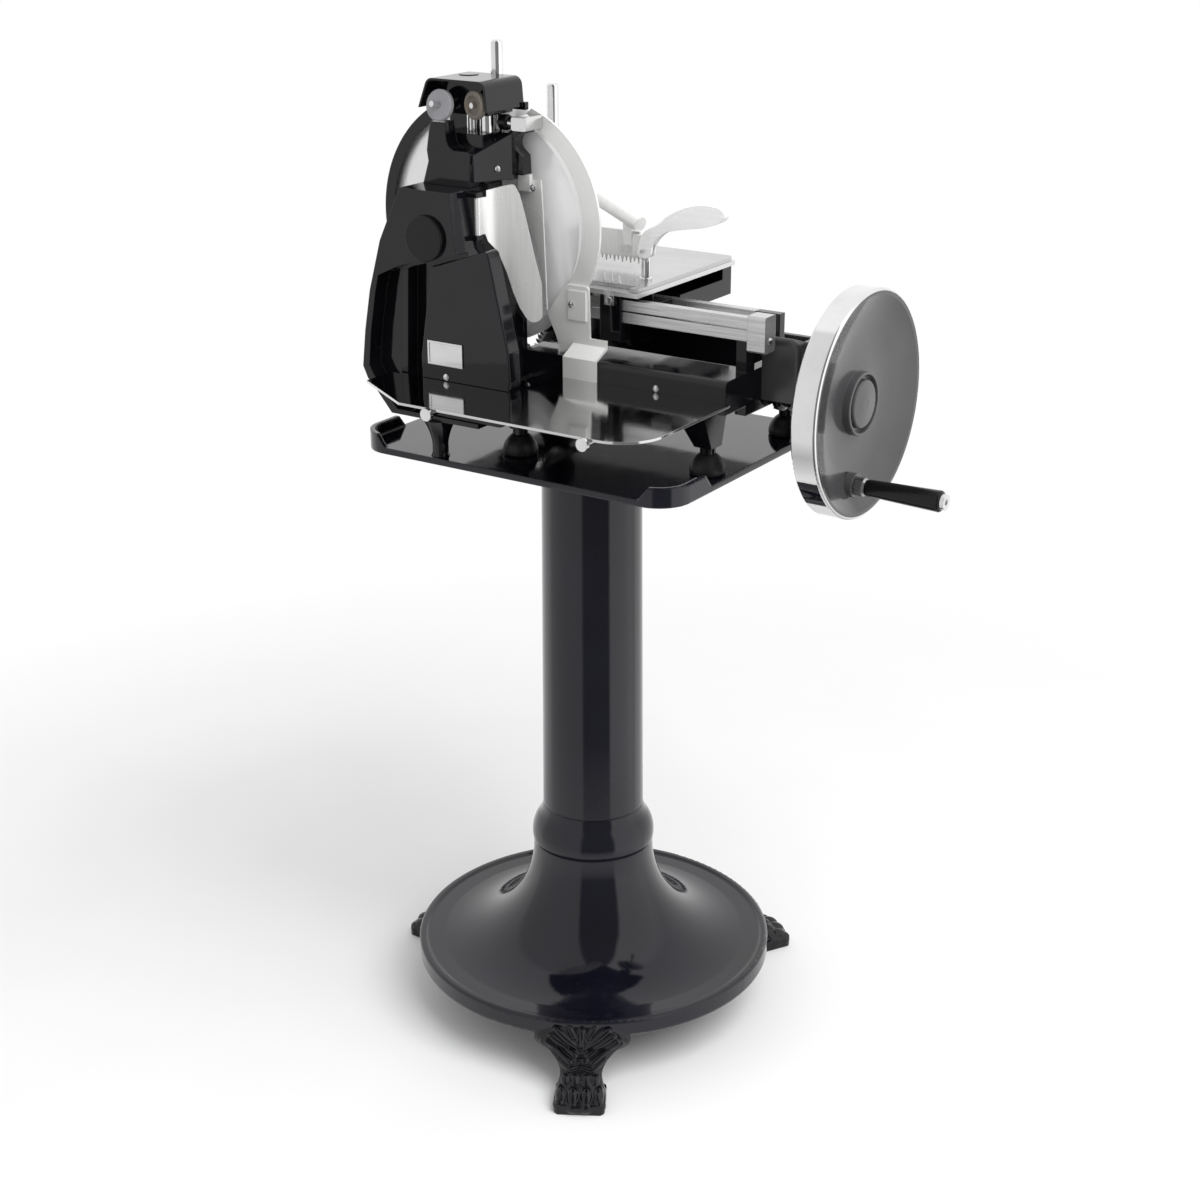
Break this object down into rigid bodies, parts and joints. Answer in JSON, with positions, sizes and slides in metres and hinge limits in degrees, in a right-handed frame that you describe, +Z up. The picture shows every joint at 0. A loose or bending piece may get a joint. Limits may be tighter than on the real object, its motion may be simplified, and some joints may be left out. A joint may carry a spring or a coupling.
{
  "type": "hand crank meat slicer on a pedestal stand",
  "caption": "Flywheel meat slicer worked by a hand crank, with a round blade, sliding food table, press and sharpener, on a cast pedestal with paw feet.",
  "frame": {"origin": "middle of the bounding box at the floor, under the paws", "axes": "+X along the machine towards the flywheel and crank, +Y from the blade side towards the food table side, +Z up"},
  "size_m": [0.7965, 0.5822, 1.311],
  "materials": {
    "stand_black": "gloss",
    "machine_black": "gloss",
    "drive_grey": "satin",
    "wheel_grey": "gloss",
    "bright_chrome": "polished",
    "polished_steel": "polished",
    "machined_steel": "satin",
    "bush_bronze": "satin",
    "grip_black": "gloss",
    "foot_rubber": "satin",
    "stone_grey": "matte",
    "stone_brown": "matte"
  },
  "bodies": {
    "machine": {"pedestal_base": "stand_black", "pedestal_column": "stand_black", "paw_foot_front": "stand_black", "paw_foot_right": "stand_black", "paw_foot_left": "stand_black", "stand_tray": "stand_black", "machine_base": "machine_black", "tower": "machine_black", "tower_back_plate": "machine_black", "tower_cover": "machine_black", "upper_arm": "machine_black", "blade_edge_guard": "machine_black", "deflector_bracket": "machine_black", "gear_cover": "drive_grey", "bearing_housing": "drive_grey", "sharpener_rod": "bright_chrome", "badge_plate": "bright_chrome", "casing_screws": "bright_chrome", "ring_guard": "polished_steel", "ring_bracket": "polished_steel", "ring_clamp": "polished_steel", "stripper_strip": "polished_steel", "receiving_plate": "polished_steel", "plate_supports": "polished_steel", "guide_rails": "polished_steel", "rail_end_blocks": "polished_steel", "blade_shaft_cap": "polished_steel", "foot_stems": "machined_steel", "stand_screws": "machined_steel", "shaft_bushes": "bush_bronze", "levelling_feet": "foot_rubber"},
    "flywheel": {"flywheel_rim": "bright_chrome", "flywheel_disc": "wheel_grey", "hub_cap": "bright_chrome", "main_shaft": "machined_steel", "bevel_gear": "machined_steel", "crank_pin": "machined_steel", "grip_cap": "bright_chrome"},
    "grip": {"crank_grip": "grip_black"},
    "cross_drive": {"cross_shaft": "machined_steel", "lower_gear": "machined_steel"},
    "idler": {"idler_gear": "machined_steel"},
    "blade_group": {"blade": "polished_steel", "blade_spindle": "machined_steel", "blade_gear": "machined_steel"},
    "carriage": {"carriage_plate": "polished_steel", "guide_blocks": "polished_steel", "guide_clamp": "bright_chrome", "carriage_side_box": "machine_black"},
    "table": {"food_table": "polished_steel", "table_posts": "polished_steel"},
    "press": {"press_arm": "polished_steel", "press_plate": "polished_steel"},
    "lever": {"press_lever": "polished_steel"},
    "sharpener": {"sharpener_hood": "machine_black", "stone_spindles": "bright_chrome"},
    "grey_stone": {"grinding_stone": "stone_grey"},
    "brown_stone": {"honing_stone": "stone_brown"},
    "knob": {"guard_knob": "grip_black"},
    "deflector": {"slice_deflector": "polished_steel"}
  },
  "joints": [
    {"name": "flywheel_spin", "type": "hinge", "parent": "machine", "child": "flywheel", "pos_m": [0.2842, 0.0499, 0.9045], "axis": [1, 0, 0], "continuous": true},
    {"name": "grip_spin", "type": "hinge", "parent": "flywheel", "child": "grip", "pos_m": [0.3442, 0.0279, 0.81], "axis": [1, 0, 0], "continuous": true},
    {"name": "cross_shaft_spin", "type": "hinge", "parent": "machine", "child": "cross_drive", "pos_m": [-0.1943, -0.0501, 0.9045], "axis": [0, 1, 0], "continuous": true},
    {"name": "idler_spin", "type": "hinge", "parent": "machine", "child": "idler", "pos_m": [-0.20236, -0.1221, 0.99715], "axis": [0, 1, 0], "continuous": true},
    {"name": "blade_spin", "type": "hinge", "parent": "machine", "child": "blade_group", "pos_m": [-0.1943, -0.0561, 1.0898], "axis": [0, 1, 0], "continuous": true},
    {"name": "carriage_slide", "type": "slide", "parent": "machine", "child": "carriage", "axis": [1, 0, 0], "range_m": [-0.085, 0.145]},
    {"name": "table_feed", "type": "slide", "parent": "carriage", "child": "table", "axis": [0, 1, 0], "range_m": [0, 0.1]},
    {"name": "press_slide", "type": "slide", "parent": "table", "child": "press", "axis": [0, 0, 1], "range_m": [-0.008, 0.08]},
    {"name": "lever_swing", "type": "hinge", "parent": "table", "child": "lever", "pos_m": [-0.0058, 0.0099, 1.064], "axis": [0, 1, 0], "range_deg": [-20, 25]},
    {"name": "sharpener_lift", "type": "slide", "parent": "machine", "child": "sharpener", "axis": [0, 0, 1], "range_m": [0, 0.03]},
    {"name": "grey_stone_spin", "type": "hinge", "parent": "sharpener", "child": "grey_stone", "pos_m": [-0.1994, -0.1421, 1.24], "axis": [0, 0.9781, -0.2079], "continuous": true},
    {"name": "brown_stone_spin", "type": "hinge", "parent": "sharpener", "child": "brown_stone", "pos_m": [-0.1528, -0.1371, 1.242], "axis": [0.2419, 0.9703, 0], "continuous": true},
    {"name": "guard_knob_spin", "type": "hinge", "parent": "machine", "child": "knob", "pos_m": [-0.1428, -0.0871, 1.218], "axis": [1, 0, 0], "continuous": true},
    {"name": "deflector_swing", "type": "hinge", "parent": "machine", "child": "deflector", "pos_m": [-0.1458, -0.1411, 1.113], "axis": [0, 0, 1], "range_deg": [-50, 0]}
  ],
  "couplings": [
    {"joint": "cross_shaft_spin", "follows": "flywheel_spin", "ratio": 2},
    {"joint": "idler_spin", "follows": "flywheel_spin", "ratio": -0.86154},
    {"joint": "blade_spin", "follows": "flywheel_spin", "ratio": 2}
  ]
}
